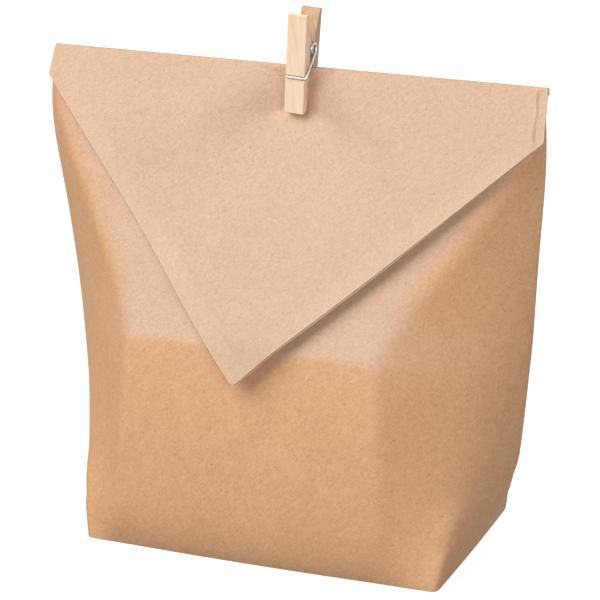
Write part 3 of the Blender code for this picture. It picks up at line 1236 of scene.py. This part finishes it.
@dataclass(frozen=True)
class Lamp:
    """A soft square lamp: its way from the bag in degrees, its side and its power."""

    name: str
    azimuth: float
    height: float
    size: float
    power: float

    def stand(self, aim: Vector, distance: float) -> None:
        """Stand the lamp up and point it.

        Args:
            aim: What it points at.
            distance: How far off it stands.
        """
        a, e = math.radians(self.azimuth), math.radians(self.height)
        way = Vector((math.sin(a) * math.cos(e), -math.cos(a) * math.cos(e), math.sin(e)))
        light = bpy.data.lights.new(self.name, "AREA")
        light.shape = "SQUARE"
        light.size = self.size
        light.energy = self.power
        item = placed_object(self.name, light)
        item.location = aim + way * distance
        item.rotation_euler = (aim - item.location).to_track_quat("-Z", "Y").to_euler()


@dataclass
class Studio:
    """Camera, lamps, world and floor."""

    eye: Point = (0.3288, -0.8434, 0.3861)
    pitch: float = 18.4
    yaw: float = 21.3
    lens: float = 162.0
    sensor: float = 36.0
    nearest: float = 0.01
    floor_size: float = 6.0
    floor_drop: float = 0.0002
    floor_grey: float = 0.12
    floor_seen: float = 0.3
    floor_glow: float = 0.9
    surround: float = 0.03
    aim: Point = (0.0, 0.0, 0.09)
    lamp_distance: float = 1.7
    lamps: Sequence[Lamp] = (
        Lamp("key", -37, 46, 1.4, 32.5),
        Lamp("front_right", 34, 2, 1.4, 24.5),
        Lamp("right", 100, 2, 1.4, 6.5),
        Lamp("back", 180, 20, 1.4, 16.0),
    )

    def camera(self) -> None:
        """Place the camera."""
        lens = bpy.data.cameras.new("camera")
        lens.lens = self.lens
        lens.sensor_width = self.sensor
        lens.clip_start = self.nearest
        eye = placed_object("camera", lens)
        eye.location = self.eye
        eye.rotation_euler = (math.radians(90 - self.pitch), 0, math.radians(self.yaw))
        bpy.context.scene.camera = eye

    def seen_white(self, s: Sketch) -> Socket:
        """Tell looks from light.

        Args:
            s: A sketch of the world's or floor's tree.

        Returns:
            1 where the eye, a reflection or glass looks, 0 for light on the object.
        """
        path = s.node("ShaderNodeLightPath")
        seen = s.maths("MAXIMUM", path.outputs["Is Camera Ray"], path.outputs["Is Glossy Ray"])
        return s.maths("MAXIMUM", seen, path.outputs["Is Transmission Ray"])

    def world(self) -> None:
        """Add a white surround that lights the object at a plain level."""
        world = bpy.data.worlds.new("studio")
        world.use_nodes = True
        s = Sketch(world.node_tree)
        strength = s.ramp(self.seen_white(s), 0.0, 1.0, self.surround, 1.0)
        back = world.node_tree.nodes["Background"]
        s.feed(back, {"Color": (1, 1, 1, 1), "Strength": strength})
        bpy.context.scene.world = world

    def floor(self) -> None:
        """Add a white floor that keeps the bag's shadow."""
        half = self.floor_size / 2
        corners = np.array([(-half, -half, 0), (half, -half, 0), (half, half, 0), (-half, half, 0)])
        material = bpy.data.materials.new("studio_floor")
        material.use_nodes = True
        s = Sketch(material.node_tree)
        nodes = material.node_tree.nodes
        nodes.remove(nodes["Principled BSDF"])
        matt, soft = (s.node("ShaderNodeBsdfDiffuse", {"Color": (grey, grey, grey, 1)})
                      for grey in (self.floor_grey, self.floor_seen))
        glow = s.node("ShaderNodeEmission", {"Color": (1, 1, 1, 1), "Strength": self.floor_glow})
        both = s.node("ShaderNodeAddShader", {0: soft.outputs[0], 1: glow.outputs[0]})
        pick = s.node("ShaderNodeMixShader", {0: self.seen_white(s), 1: matt.outputs[0],
                                              2: both.outputs[0]})
        s.feed(nodes["Material Output"], {"Surface": pick.outputs[0]})
        floor = mesh_object("studio_floor", corners, [(0, 1, 2, 3)], material)
        floor.location.z = -self.floor_drop

    def build(self) -> None:
        """Set up everything."""
        self.camera()
        self.world()
        for lamp in self.lamps:
            lamp.stand(Vector(self.aim), self.lamp_distance)
        self.floor()
        bpy.context.scene.view_settings.view_transform = "Standard"


@dataclass
class LunchBag:
    """The whole object."""

    sizes: BagSizes = field(default_factory=BagSizes)

    def build(self) -> None:
        """Build and dress every piece."""
        fibres = fibre_effect()
        grain = grain_effect()
        paper = PaperFinish("kraft_paper_fine", fibres=fibres).make()
        woods = {
            "peg_front_lever": WoodFinish("peg_wood_fine", grain=grain).make(),
            # The back lever gets a darker copy of the same wood: painted shade for the shadow
            # between the levers.
            "peg_back_lever": WoodFinish("peg_wood_painted_shade", light=linear(204, 170, 136),
                                         dark=linear(180, 142, 104), grain=grain).make(),
        }
        wire = WireFinish("spring_wire_fine").make()
        body = BagBody(self.sizes).build(paper)
        flap = Flap(self.sizes).build(body, paper)
        for piece in (body, *flap):
            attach(piece, Body.BAG.value)
        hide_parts("paper_bag")
        spring = SpringWire()
        piece = spring.build(wire)
        spring.dress(piece)
        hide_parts("peg_spring")
        for name, wood in woods.items():
            lever = frame["nodes"][name]
            lever.material_slots[0].material = wood


def main() -> None:
    """Build the scene."""
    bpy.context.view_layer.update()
    LunchBag().build()
    Studio().build()


if __name__ == "__main__":
    main()
